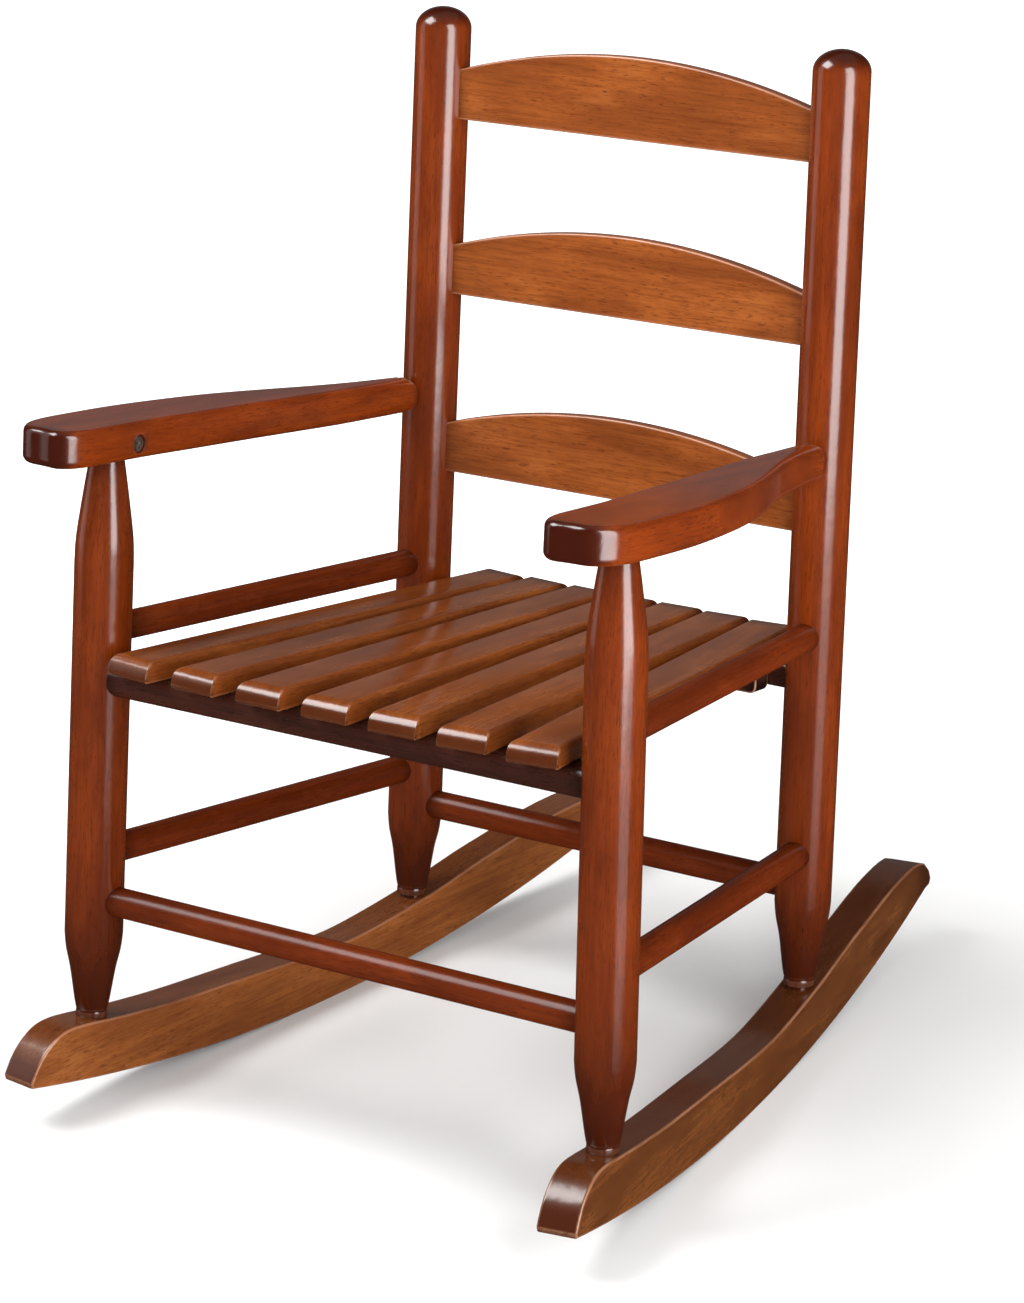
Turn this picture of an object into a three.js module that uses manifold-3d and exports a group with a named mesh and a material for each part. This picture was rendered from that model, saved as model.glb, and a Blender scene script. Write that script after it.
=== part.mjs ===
// Ladder-back rocking chair for a child, all hardwood, millimetres, +Z up, front toward -Y.
// The chair is drawn in its own frame (posts upright, y = 0 at the front posts, z = 0 at the front
// feet) and then leaned back as one group onto the point where it balances on its rockers.
import * as THREE from 'three';
import { mergeVertices } from 'three/addons/utils/BufferGeometryUtils.js';
import Module from 'manifold-3d';

const wasm = await Module();
wasm.setup();

// ---- overall sizes ---------------------------------------------------------------------------
const LEAN_DEG = 7.06;            // posts lean back this much when the empty chair is at rest
const SEAT_DEPTH = 261.3;         // front post axis to rear post axis
const FRONT_HALF = 174.5;         // half the front post spacing, at the feet
const REAR_HALF = 137.8;          // half the rear post spacing, at the feet
const FRONT_SPLAY = 0.0165;       // how fast the front posts draw together, going up
const REAR_SPLAY = 0.0062;        // the same for the rear posts
const FIT = 0.3;                  // clearance round every tenon

// ---- rockers ---------------------------------------------------------------------------------
// The rockers are drawn for a seat 261.3 deep and grow with it.
const GROWTH = SEAT_DEPTH / 261.3;
const ROCKER_W = 23.7;
const ROCKER_R = 1014.6;          // radius the chair rocks on
const ROCKER_CENTRE = [57.5, 982.4];
const ROCKER_NOSE = [-54.4, -25.1];   // front and rear ends of the running edge
const ROCKER_TAIL = [433.4, 38.4];
const ROCKER_FLAT = 7;            // half the flat on which the empty chair rests
const ROCKER_EDGE = 1.6;
const FOOT_Z = [3.1 * GROWTH, 23.1 * GROWTH];   // where the front and rear feet stand on the rockers

// ---- posts -----------------------------------------------------------------------------------
const FRONT_POST_R = 16.6;
const REAR_POST_R = 16.3;
const NECK_R = 0.38 * ROCKER_W;    // foot of a post where it meets the rocker
const FOOT_TENON_R = 6.8;
const FOOT_TENON_LEN = 20;
const FOOT_TAPER = 45;            // height of the tapered foot
const ARM_NECK_R = 9.8;           // top of a front post, under the arm
const ARM_TENON_R = 6.5;
const ARM_TENON_LEN = 15;
const DOME_H = 12.3;               // domed top of a rear post
const REAR_TOP = 562.6;           // top of the rear posts

// ---- rails and stretchers --------------------------------------------------------------------
const STRETCHER_R = 8.5;
const SOCKET_DEPTH = 12;          // how far a round tenon goes past the face of a post
const FRONT_STRETCHER_Z = 73.9;
const REAR_STRETCHER_Z = 81.9;
const SIDE_STRETCHER_Z = [99.6, 104.1];
const SIDE_RAIL_R = 8.2;
const SIDE_RAIL_Z = [229.4, 232.2];
const RAIL_DEEP = 21.4;           // oval rails under the seat, front to back
const RAIL_TALL = 17;

// ---- seat ------------------------------------------------------------------------------------
const SLATS = 7;
const SLAT_T = 12;
const SLAT_FRONT = -22.7;         // y of the front ends
const SLAT_REAR = SEAT_DEPTH + 24.7;  // y of the rear ends
const PITCH_FRONT = (2 * FRONT_HALF - 79.6) / (SLATS - 1);   // slat spacing at the front ends
const PITCH_REAR = (2 * REAR_HALF - 89) / (SLATS - 1);       // slat spacing at the rear ends
const SLAT_W = PITCH_REAR - 1.6;
const SEAT_TOP = 223.6;           // height of the slat tops at the front posts
const SEAT_RISE = 0.0128;         // rise of the seat toward the back
const NOSE_R = 9;                 // rounded front end of a slat
const EDGE_R = 4;                 // rounded long edges of a slat
const BATTEN_T = 13.5;
const BATTEN_H = 18;

// ---- back ------------------------------------------------------------------------------------
const BACK_SLAT_T = 8.5;
const BACK_SLAT_END = 29;         // height of a back slat where it enters the posts
const BACK_SLAT_ARCH = 18;        // rise of its top edge in the middle
const BACK_SLAT_Z = {             // lower edges, as parts of the height from the seat to the post tops
  bottom: SEAT_TOP + 0.193 * (REAR_TOP - SEAT_TOP),
  middle: SEAT_TOP + 0.507 * (REAR_TOP - SEAT_TOP),
  top: SEAT_TOP + 0.8106 * (REAR_TOP - SEAT_TOP),
};
const BACK_SLAT_TENON = 9;

// ---- arms ------------------------------------------------------------------------------------
const ARM_T = 21;
const ARM_TOP = 350.2;            // height of the arm tops at the front posts
const ARM_SLOPE = -0.02;
const ARM_FRONT = -53.4;
const ARM_EDGE = 4;
const ARM_REAR_TENON_R = 6.5;

// ---- screws ----------------------------------------------------------------------------------
const ARM_SCREW = { head: 4.6, shank: 2, long: 24, sink: 3 };
const SLAT_SCREW = { head: 3.6, shank: 1.6, long: 24, sink: 2.4 };

const V = (x, y, z) => new THREE.Vector3(x, y, z);
const RAD = Math.PI / 180;
const frontPost = (side, z) => V(side * (FRONT_HALF - FRONT_SPLAY * z), 0, z);
const rearPost = (side, z) => V(side * (REAR_HALF - REAR_SPLAY * z), SEAT_DEPTH, z);
const seatTop = (y) => SEAT_TOP + SEAT_RISE * y;
const armTop = (y) => ARM_TOP + ARM_SLOPE * y;

// ---- solids ----------------------------------------------------------------------------------
// The points are welded before the piece is moved, so that no seam opens by rounding.
function solid(geometry, matrix = new THREE.Matrix4()) {
  const g = geometry.clone();
  g.deleteAttribute('normal');
  g.deleteAttribute('uv');
  const m = mergeVertices(g, 1e-4).applyMatrix4(matrix);
  const index = m.index.array;
  const faces = [];
  for (let i = 0; i < index.length; i += 3) {
    const [a, b, c] = [index[i], index[i + 1], index[i + 2]];
    if (a !== b && b !== c && c !== a) faces.push(a, b, c);
  }
  const vertProperties = new Float32Array(m.attributes.position.array);
  return new wasm.Manifold(new wasm.Mesh({ numProp: 3, vertProperties, triVerts: new Uint32Array(faces) }));
}

function geometryOf(body) {
  const mesh = body.getMesh();
  const g = new THREE.BufferGeometry();
  g.setAttribute('position', new THREE.BufferAttribute(new Float32Array(mesh.vertProperties), 3));
  g.setIndex(new THREE.BufferAttribute(new Uint32Array(mesh.triVerts), 1));
  const flat = g.toNonIndexed();
  flat.computeVertexNormals();
  return flat;
}

// A basis whose local z runs from a to b.
function basisFrom(a, b) {
  const z = b.clone().sub(a).normalize();
  const along = Math.abs(z.z) > 0.7 ? V(1, 0, 0) : V(0, 0, 1);
  const y = z.clone().cross(along).normalize();
  const x = y.clone().cross(z);
  return new THREE.Matrix4().makeBasis(x, y, z).setPosition(a);
}

// A turned piece: profile of [radius, height] pairs, first and last on the axis.
function turned(profile, matrix, segments = 20) {
  const points = profile.map(([r, z]) => new THREE.Vector2(r, z));
  const g = new THREE.LatheGeometry(points, segments);
  g.rotateX(Math.PI / 2);
  return solid(g, matrix);
}

function rod(a, b, r, segments = 16) {
  const long = a.distanceTo(b);
  return turned([[0, 0], [r, 0], [r, long], [0, long]], basisFrom(a, b), segments);
}

function prism(points, depth, matrix, bevel = 0, steps = 2) {
  const shape = new THREE.Shape(points.map(([x, y]) => new THREE.Vector2(x, y)));
  const g = new THREE.ExtrudeGeometry(shape, {
    depth: depth - 2 * bevel,
    bevelEnabled: bevel > 0,
    bevelThickness: bevel,
    bevelSize: bevel,
    bevelOffset: -bevel,
    bevelSegments: steps,
    curveSegments: 6,
  });
  g.translate(0, 0, bevel);
  return solid(g, matrix);
}

// Corner points of a rounded rectangle, x0..x1 by y0..y1, one radius per corner (from lower left).
function roundedRect(x0, y0, x1, y1, radii, steps = 4) {
  const corners = [[x0, y0, 180], [x1, y0, 270], [x1, y1, 0], [x0, y1, 90]];
  const out = [];
  corners.forEach(([x, y, start], i) => {
    const r = radii[i];
    if (r === 0) {
      out.push([x, y]);
      return;
    }
    const cx = x === x0 ? x + r : x - r;
    const cy = y === y0 ? y + r : y - r;
    for (let k = 0; k <= steps; k += 1) {
      const a = (start + (90 * k) / steps) * RAD;
      out.push([cx + r * Math.cos(a), cy + r * Math.sin(a)]);
    }
  });
  return out;
}

const smooth = (points, count) => new THREE.CatmullRomCurve3(
  points.map(([x, y]) => V(x, y, 0)), false, 'centripetal',
).getPoints(count).map((p) => [p.x, p.y]);

const join = (bodies) => bodies.reduce((a, b) => a.add(b));
const cut = (body, tools) => tools.reduce((a, b) => a.subtract(b), body);

// ---- rockers ---------------------------------------------------------------------------------
// A rocker stands plumb over the floor, so its outline is turned from the chair's lean to the floor's level.
const lean = { cos: Math.cos(LEAN_DEG * RAD), sin: Math.sin(LEAN_DEG * RAD) };
const level = ([s, w]) => [s * lean.cos + w * lean.sin, w * lean.cos - s * lean.sin];
const rearReach = level([SEAT_DEPTH, FOOT_Z[1]])[0];
const toeIn = Math.atan2(FRONT_HALF - rearPost(1, FOOT_Z[1]).x, rearReach);
const rockerFrame = (side) => {
  const run = Math.cos(toeIn);
  const along = V(-side * Math.sin(toeIn), run * lean.cos, run * lean.sin);
  const up = V(0, -lean.sin, lean.cos);
  const across = along.clone().cross(up);
  const origin = V(side * FRONT_HALF, 0, 0).addScaledVector(across, -ROCKER_W / 2);
  return new THREE.Matrix4().makeBasis(along, up, across).setPosition(origin);
};

// Side view of a rocker, back along it from the front foot, with a small flat where it rests.
function rockerOutline() {
  const [cs, cw] = level(ROCKER_CENTRE);
  const from = level(ROCKER_NOSE)[0] - cs;
  const to = level(ROCKER_TAIL)[0] - cs;
  const under = [];
  const arc = (a, b, n) => {
    for (let k = 0; k <= n; k += 1) {
      const t = a + ((b - a) * k) / n;
      under.push([cs + ROCKER_R * Math.sin(t), cw - ROCKER_R * Math.cos(t)]);
    }
  };
  arc(Math.asin(from / ROCKER_R), -ROCKER_FLAT / ROCKER_R, 12);
  arc(ROCKER_FLAT / ROCKER_R, Math.asin(to / ROCKER_R), 16);
  const tail = [[438.6, 40.6], [440.6, 44.5], [437.8, 50], [430, 56]];
  const over = smooth([
    [421.2, 58.5], [409.8, 58.3], [384.9, 54.9], [362.3, 50], [339.9, 44], [317.4, 38.3],
    [300.5, 33.4], [275.9, 25.9], [251.2, 19.6], [227.5, 14.2], [205, 9.9], [182.3, 7.5],
    [156.1, 6], [125.3, 4.9], [96.8, 3.7], [57, 2.3], [25, 2.4], [0, 3.2], [-14, 3.8], [-25.3, 3.5],
  ], 26);
  const nose = [[-34.4, 1.1], [-42, -4], [-49, -11.5], [-54, -20.5], [-55.2, -23.4]];
  return [...under, ...[...tail, ...over, ...nose].map(level)].map(([s, w]) => [s * GROWTH, w * GROWTH]);
}

// The drilled socket for a foot's tenon, and the small flat its shoulder stands on.
function footCuts(post, side, z) {
  const bottom = post(side, z - FOOT_TENON_LEN - FIT);
  const foot = post(side, z);
  const above = post(side, z + 8);
  return rod(bottom, above, FOOT_TENON_R + FIT, 16).add(rod(foot, above, NECK_R + 1.2, 20));
}

function rocker(side) {
  const body = prism(rockerOutline(), ROCKER_W, rockerFrame(side), ROCKER_EDGE, 1);
  return cut(body, [footCuts(frontPost, side, FOOT_Z[0]), footCuts(rearPost, side, FOOT_Z[1])]);
}

// ---- dowels between posts --------------------------------------------------------------------
// Each dowel runs from one post axis to another and is trimmed to its socket depth at both ends.
function trimmed(a, b, ra, rb) {
  const dir = b.clone().sub(a).normalize();
  return [
    a.clone().addScaledVector(dir, ra - SOCKET_DEPTH),
    b.clone().addScaledVector(dir, -(rb - SOCKET_DEPTH)),
  ];
}

const dowels = {
  stretcher_front: { ends: [frontPost(-1, FRONT_STRETCHER_Z), frontPost(1, FRONT_STRETCHER_Z)],
    radii: [FRONT_POST_R, FRONT_POST_R], r: STRETCHER_R },
  stretcher_rear: { ends: [rearPost(-1, REAR_STRETCHER_Z), rearPost(1, REAR_STRETCHER_Z)],
    radii: [REAR_POST_R, REAR_POST_R], r: STRETCHER_R },
};
for (const [name, side] of [['right', -1], ['left', 1]]) {
  dowels[`stretcher_${name}`] = {
    ends: [frontPost(side, SIDE_STRETCHER_Z[0]), rearPost(side, SIDE_STRETCHER_Z[1])],
    radii: [FRONT_POST_R, REAR_POST_R], r: STRETCHER_R,
  };
  dowels[`seat_rail_${name}`] = {
    ends: [frontPost(side, SIDE_RAIL_Z[0]), rearPost(side, SIDE_RAIL_Z[1])],
    radii: [FRONT_POST_R, REAR_POST_R], r: SIDE_RAIL_R,
  };
}

const dowelBody = ({ ends, radii, r }) => rod(...trimmed(ends[0], ends[1], ...radii), r);
function dowelSockets({ ends, radii, r }) {
  const [a, b] = trimmed(ends[0], ends[1], ...radii);
  const dir = b.clone().sub(a).normalize();
  return rod(a.addScaledVector(dir, -FIT), b.addScaledVector(dir, FIT), r + FIT);
}

// ---- oval rails the seat rests on ------------------------------------------------------------
function ovalRail(y, half, postR, grow) {
  const top = seatTop(y) - SLAT_T - FIT;
  const reach = half - postR + SOCKET_DEPTH + grow;
  const outline = roundedRect(
    -RAIL_DEEP / 2 - grow, top - RAIL_TALL - grow, RAIL_DEEP / 2 + grow, top + grow, [8, 8, 6, 6], 4,
  );
  const frame = new THREE.Matrix4().makeBasis(V(0, 1, 0), V(0, 0, 1), V(1, 0, 0)).setPosition(-reach, y, 0);
  return prism(outline, 2 * reach, frame);
}
const frontRail = (grow) => ovalRail(0, frontPost(1, SEAT_TOP - 20).x, FRONT_POST_R, grow);
const rearRail = (grow) => ovalRail(SEAT_DEPTH, rearPost(1, SEAT_TOP - 20).x, REAR_POST_R, grow);

// ---- back slats ------------------------------------------------------------------------------
function backSlat(z, grow) {
  const half = rearPost(1, z).x - REAR_POST_R + BACK_SLAT_TENON + grow;
  const top = z + BACK_SLAT_END + grow;
  const outline = [[-half, z - grow], [half, z - grow], [half, top]];
  const shoulder = rearPost(1, z).x - REAR_POST_R * 0.9;
  const steps = 16;
  for (let k = 0; k <= steps; k += 1) {
    const x = shoulder * (1 - (2 * k) / steps);
    outline.push([x, top + BACK_SLAT_ARCH * (1 - (x / shoulder) ** 2)]);
  }
  outline.push([-half, top]);
  const thick = BACK_SLAT_T + 2 * grow;
  const frame = new THREE.Matrix4().makeBasis(V(1, 0, 0), V(0, 0, 1), V(0, -1, 0));
  frame.setPosition(0, SEAT_DEPTH + thick / 2, 0);
  return prism(outline, thick, frame, grow > 0 ? 0 : 1, 1);
}

// ---- posts -----------------------------------------------------------------------------------
// From the tenon in the rocker up to the full thickness, with a turned ring above the shoulder.
const footProfile = (full) => [
  [0, -FOOT_TENON_LEN], [FOOT_TENON_R, -FOOT_TENON_LEN], [FOOT_TENON_R, FIT], [NECK_R, FIT],
  [NECK_R, 4], [NECK_R - 0.7, 4.6], [NECK_R - 0.7, 5.6], [NECK_R + 0.4, 6.2],
  [full - 1.6, FOOT_TAPER - 5], [full - 0.3, FOOT_TAPER], [full, FOOT_TAPER + 4],
];

function frontPostBody(side) {
  const foot = frontPost(side, FOOT_Z[0]);
  const head = frontPost(side, armTop(0) - ARM_T - FIT);
  const high = head.distanceTo(foot);
  const r = FRONT_POST_R;
  return turned([
    ...footProfile(r), [r, high - 51], [r - 0.5, high - 45], [ARM_NECK_R, high],
    [ARM_TENON_R, high], [ARM_TENON_R, high + ARM_TENON_LEN], [0, high + ARM_TENON_LEN],
  ], basisFrom(foot, head));
}

function rearPostBody(side) {
  const foot = rearPost(side, FOOT_Z[1]);
  const head = rearPost(side, REAR_TOP);
  const high = head.distanceTo(foot);
  const r = REAR_POST_R;
  const dome = [0, 24, 44, 60, 74].map((a) => [
    r * Math.cos(a * RAD), high - DOME_H + DOME_H * Math.sin(a * RAD),
  ]);
  return turned([...footProfile(r), ...dome, [0, high]], basisFrom(foot, head));
}

// ---- arms ------------------------------------------------------------------------------------
// The outline is drawn for the sizes above and follows the posts when these change.
function armPoint(side, [x, y]) {
  const t = y / 261.3;
  const z = ARM_TOP - ARM_T;
  const front = frontPost(1, z).x - 169.1;
  const rear = rearPost(1, z).x - 135.8;
  return [side * (x + front * (1 - t) + rear * t), y * GROWTH];
}

function armOutline(side) {
  const outer = smooth([
    [172, ARM_FRONT], [184, ARM_FRONT + 1.6], [193, ARM_FRONT + 11], [196.8, -28], [197.4, 0],
    [196.2, 33], [192, 67], [186, 99], [177.8, 127], [168, 155], [161.8, 172.4], [157, 189.5],
    [153.6, 205.5], [151.2, 222], [149, 240],
  ], 24);
  const inner = smooth([
    [131, 240], [132.6, 222], [134.2, 205], [137, 165.5], [140.2, 130], [143.4, 92.3], [146.4, 50],
    [149.4, 12.3], [150, -16.3], [150.6, -36], [154, -48], [161, -54.4], [172, ARM_FRONT],
  ], 18);
  const all = [...outer, ...inner.slice(0, -1)];
  return all.map((point) => armPoint(side, point));
}

function armPlane() {
  const across = V(1, 0, 0);
  const back = V(0, 1, ARM_SLOPE).normalize();
  const up = across.clone().cross(back);
  const origin = V(0, 0, ARM_TOP).addScaledVector(up, -ARM_T);
  return new THREE.Matrix4().makeBasis(across, back, up).setPosition(origin);
}

function armRearTenon(side, grow) {
  const z = armTop(SEAT_DEPTH) - ARM_T / 2;
  const start = V(side * (REAR_HALF + 2.8), SEAT_DEPTH - 29.3, z);
  const post = rearPost(side, z);
  const dir = V(post.x + side * 1.5, post.y, z).sub(start).normalize();
  const reach = 29.3 - REAR_POST_R + SOCKET_DEPTH - 1;
  return rod(start, start.clone().addScaledVector(dir, reach + grow), ARM_REAR_TENON_R + grow, 16);
}

const postClearance = (side) => rod(
  rearPost(side, ARM_TOP - 50), rearPost(side, ARM_TOP + 50), REAR_POST_R + FIT, 20,
);

function armScrewPlace(side) {
  const z = armTop(0) - ARM_T / 2 - 2;
  return { start: V(side * (FRONT_HALF - 24.75), 4.5, z), dir: V(side, 0, 0) };
}

// A countersunk screw, its head at the start and its tip along dir.
function screwProfile({ head, shank, long, sink }, grow) {
  const slope = head - shank;
  return [
    [0, -grow], [head + grow, -grow], [head + grow, 0.8], [shank + grow, 0.8 + slope * 0.8],
    [shank + grow, long - sink], [0, long + grow],
  ];
}
function screw(spec, start, dir, grow, segments = 14) {
  const frame = basisFrom(start, start.clone().add(dir));
  return turned(screwProfile(spec, grow), frame, segments);
}
function crossSlot(spec, start, dir) {
  const long = spec.head * 1.15;
  const wide = spec.head * 0.3;
  const frame = basisFrom(start, start.clone().add(dir));
  const bar = (x, y) => {
    const g = new THREE.BoxGeometry(x, y, 2.6);
    g.rotateZ(Math.PI / 4);
    return solid(g, frame);
  };
  return bar(long, wide).add(bar(wide, long));
}
const drivenScrew = (spec, start, dir) => cut(screw(spec, start, dir, 0), [crossSlot(spec, start, dir)]);

function arm(side) {
  const body = prism(armOutline(side), ARM_T, armPlane(), ARM_EDGE, 2);
  const stub = armRearTenon(side, 0);
  const head = frontPost(side, armTop(0) - ARM_T - 2);
  const up = frontPost(side, armTop(0) - ARM_T + ARM_TENON_LEN + FIT);
  const { start, dir } = armScrewPlace(side);
  const sink = rod(start.clone().addScaledVector(dir, -6), start, ARM_SCREW.head + FIT, 14);
  const trimmedBody = cut(body, [postClearance(side)]);
  const whole = trimmedBody.add(stub);
  return cut(whole, [rod(head, up, ARM_TENON_R + FIT, 16), screw(ARM_SCREW, start, dir, FIT), sink]);
}

// ---- seat slats and the battens they are screwed to ------------------------------------------
function slatFrame(i) {
  const k = i - (SLATS - 1) / 2;
  const front = V(k * PITCH_FRONT, SLAT_FRONT, seatTop(SLAT_FRONT));
  const rear = V(k * PITCH_REAR, SLAT_REAR, seatTop(SLAT_REAR));
  const along = rear.clone().sub(front).normalize();
  const across = along.clone().cross(V(0, 0, 1)).normalize();
  const up = across.clone().cross(along);
  return { front, along, across, up, long: front.distanceTo(rear) };
}

function slat(i) {
  const { front, along, across, up, long } = slatFrame(i);
  const side = roundedRect(0, -SLAT_T, long, 0, [2.6, 0.8, 2, NOSE_R], 3);
  const section = roundedRect(-SLAT_W / 2, -SLAT_T, SLAT_W / 2, 0, [1.2, 1.2, EDGE_R, EDGE_R], 2);
  const sideFrame = new THREE.Matrix4().makeBasis(along, up, across);
  sideFrame.setPosition(front.clone().addScaledVector(across, -SLAT_W));
  const endFrame = new THREE.Matrix4().makeBasis(across.clone().negate(), up, along.clone());
  endFrame.setPosition(front.clone().addScaledVector(along, -1));
  const a = prism(side, 2 * SLAT_W, sideFrame);
  const b = prism(section, long + 2, endFrame);
  return a.intersect(b);
}

const BATTENS = {
  front: { y: RAIL_DEEP / 2 + 0.4 + BATTEN_T / 2 },
  rear: { y: SEAT_DEPTH - RAIL_DEEP / 2 - 0.4 - BATTEN_T / 2 },
};
const slatX = (i, y) => {
  const t = (y - SLAT_FRONT) / (SLAT_REAR - SLAT_FRONT);
  return (i - (SLATS - 1) / 2) * (PITCH_FRONT + (PITCH_REAR - PITCH_FRONT) * t);
};
function batten({ y }) {
  const half = slatX(SLATS - 1, y) + SLAT_W / 2 - 0.5;
  const top = seatTop(y) - SLAT_T - FIT;
  const outline = roundedRect(-half, top - BATTEN_H, half, top, [4, 4, 0, 0], 3);
  const frame = new THREE.Matrix4().makeBasis(V(1, 0, 0), V(0, 0, 1), V(0, -1, 0));
  frame.setPosition(0, y + BATTEN_T / 2, 0);
  return prism(outline, BATTEN_T, frame);
}
function slatScrewPlace(i, y) {
  const z = seatTop(y) - SLAT_T - FIT - BATTEN_H + 0.2;
  return { start: V(slatX(i, y), y, z), dir: V(0, 0, 1) };
}

// ---- the assembly ----------------------------------------------------------------------------
const WOOD = { frame: '#7a3a1c', slat: '#8a4824', rocker: '#854420', dark: '#4a2416' };
const chair = new THREE.Group();
chair.name = 'chair';
function addPiece(name, body, colour, roughness = 0.3, metalness = 0) {
  const material = new THREE.MeshStandardMaterial({ color: colour, roughness, metalness });
  const mesh = new THREE.Mesh(geometryOf(body), material);
  mesh.name = name;
  chair.add(mesh);
}

const SIDES = [['right', -1], ['left', 1]];
const postCuts = [
  ...Object.values(dowels).map(dowelSockets), frontRail(FIT), rearRail(FIT),
  ...Object.values(BACK_SLAT_Z).map((z) => backSlat(z, FIT)),
];

for (const [name, side] of SIDES) {
  const { start, dir } = armScrewPlace(side);
  addPiece(`rocker_${name}`, rocker(side), WOOD.rocker);
  addPiece(`front_post_${name}`, cut(frontPostBody(side), [...postCuts, screw(ARM_SCREW, start, dir, FIT)]),
    WOOD.frame);
  addPiece(`rear_post_${name}`, cut(rearPostBody(side), [...postCuts, armRearTenon(side, FIT)]), WOOD.frame);
  addPiece(`arm_${name}`, arm(side), WOOD.frame);
  addPiece(`arm_screw_${name}`, drivenScrew(ARM_SCREW, start, dir), '#b9b4aa', 0.35, 0.9);
}
for (const [name, spec] of Object.entries(dowels)) addPiece(name, dowelBody(spec), WOOD.frame);
addPiece('seat_rail_front', frontRail(0), WOOD.dark);
addPiece('seat_rail_rear', rearRail(0), WOOD.dark);
for (const [name, z] of Object.entries(BACK_SLAT_Z)) {
  addPiece(`back_slat_${name}`, backSlat(z, 0), WOOD.slat);
}

const screwPlaces = [];
for (let i = 0; i < SLATS; i += 1) {
  for (const [name, { y }] of Object.entries(BATTENS)) {
    screwPlaces.push({ name: `slat_screw_${name}_${i + 1}`, row: name, i, ...slatScrewPlace(i, y) });
  }
}
const pilot = ({ start, dir }) => screw(SLAT_SCREW, start, dir, FIT, 8);
for (let i = 0; i < SLATS; i += 1) {
  addPiece(`seat_slat_${i + 1}`, cut(slat(i), screwPlaces.filter((s) => s.i === i).map(pilot)), WOOD.slat);
}
for (const [name, spec] of Object.entries(BATTENS)) {
  addPiece(`seat_batten_${name}`, cut(batten(spec), screwPlaces.filter((s) => s.row === name).map(pilot)),
    WOOD.dark);
}
for (const { name, start, dir } of screwPlaces) {
  addPiece(name, screw(SLAT_SCREW, start, dir, 0, 8), '#b9b4aa', 0.35, 0.9);
}

// Lean the chair back and stand its rockers on z = 0, centred over the origin.
chair.rotation.x = -LEAN_DEG * RAD;
chair.updateMatrixWorld(true);
const box = new THREE.Box3().setFromObject(chair, true);
chair.position.set(-(box.min.x + box.max.x) / 2, -(box.min.y + box.max.y) / 2, -box.min.z);

const root = new THREE.Group();
root.name = 'rocking_chair';
root.add(chair);
export default root;
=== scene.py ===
"""Ladder-back rocking chair for a child, in stained and lacquered hardwood.

Every piece is drawn in the chair's own frame (millimetres, posts upright, y = 0 at the front posts,
z = 0 at the front feet) and then leaned back into the room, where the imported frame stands.
"""

from math import acos, asin, atan2, cos, pi, radians, sin, sqrt, tau

import bmesh
import bpy
from bpy.props import FloatProperty, FloatVectorProperty, IntProperty, PointerProperty
from mathutils import Matrix, Vector


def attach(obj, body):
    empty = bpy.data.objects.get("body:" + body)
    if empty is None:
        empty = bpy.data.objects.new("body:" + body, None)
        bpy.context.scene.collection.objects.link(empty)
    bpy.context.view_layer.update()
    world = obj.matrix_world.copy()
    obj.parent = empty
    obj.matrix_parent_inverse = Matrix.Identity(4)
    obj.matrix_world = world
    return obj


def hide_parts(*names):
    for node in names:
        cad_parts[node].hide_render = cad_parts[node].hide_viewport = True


bl_info = {
    "name": "Ladder-back rocking chair",
    "version": (1, 0, 0),
    "blender": (4, 5, 0),
    "location": "View3D > Sidebar > Chair",
    "description": "A child's rocking chair: turned posts, a fanned slat seat and curved rockers",
    "category": "Add Mesh",
}

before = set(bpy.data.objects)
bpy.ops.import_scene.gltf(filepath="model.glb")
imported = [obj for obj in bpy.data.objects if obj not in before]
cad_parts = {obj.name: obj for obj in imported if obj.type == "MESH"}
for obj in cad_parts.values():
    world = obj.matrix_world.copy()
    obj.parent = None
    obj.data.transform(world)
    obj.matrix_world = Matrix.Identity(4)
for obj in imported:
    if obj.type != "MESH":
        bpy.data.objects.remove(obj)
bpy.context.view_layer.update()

SIDES = (("right", -1), ("left", 1))
LEAN = radians(7.06)
ROOM = (
    Matrix.Translation((0.0, -0.19065, 0.04672))
    @ Matrix.Rotation(-LEAN, 4, "X")
    @ Matrix.Scale(0.001, 4)
)

SEAT_DEPTH = 261.3
FRONT_HALF, FRONT_SPLAY = 174.5, 0.0165
REAR_HALF, REAR_SPLAY = 137.8, 0.0062
SOCKET_DEPTH, FIT = 12.0, 0.3
FOOT_Z = (3.1, 23.1)
NECK = 9.0
REAR_TOP, DOME = 562.6, 12.3
SEAT_TOP, SEAT_RISE = 223.6, 0.0128
SLAT_FRONT, SLAT_REAR = -22.7, SEAT_DEPTH + 24.7
ARM_TOP, ARM_SLOPE = 350.2, -0.02
X, Y, Z = Vector((1, 0, 0)), Vector((0, 1, 0)), Vector((0, 0, 1))


def front_post(side, z):
    return Vector((side * (FRONT_HALF - FRONT_SPLAY * z), 0.0, z))


def rear_post(side, z):
    return Vector((side * (REAR_HALF - REAR_SPLAY * z), SEAT_DEPTH, z))


def seat_top(y):
    return SEAT_TOP + SEAT_RISE * y


def arm_top(y):
    return ARM_TOP + ARM_SLOPE * y


def mm(metres):
    return metres * 1000


# ---- what a user may change ------------------------------


def length(name, description, default):
    return FloatProperty(name=name, description=description, default=default, min=0.0, unit="LENGTH")


def colour(name, description, default):
    return FloatVectorProperty(
        name=name, description=description, default=default, size=3, min=0.0, max=1.0, subtype="COLOR"
    )


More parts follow.
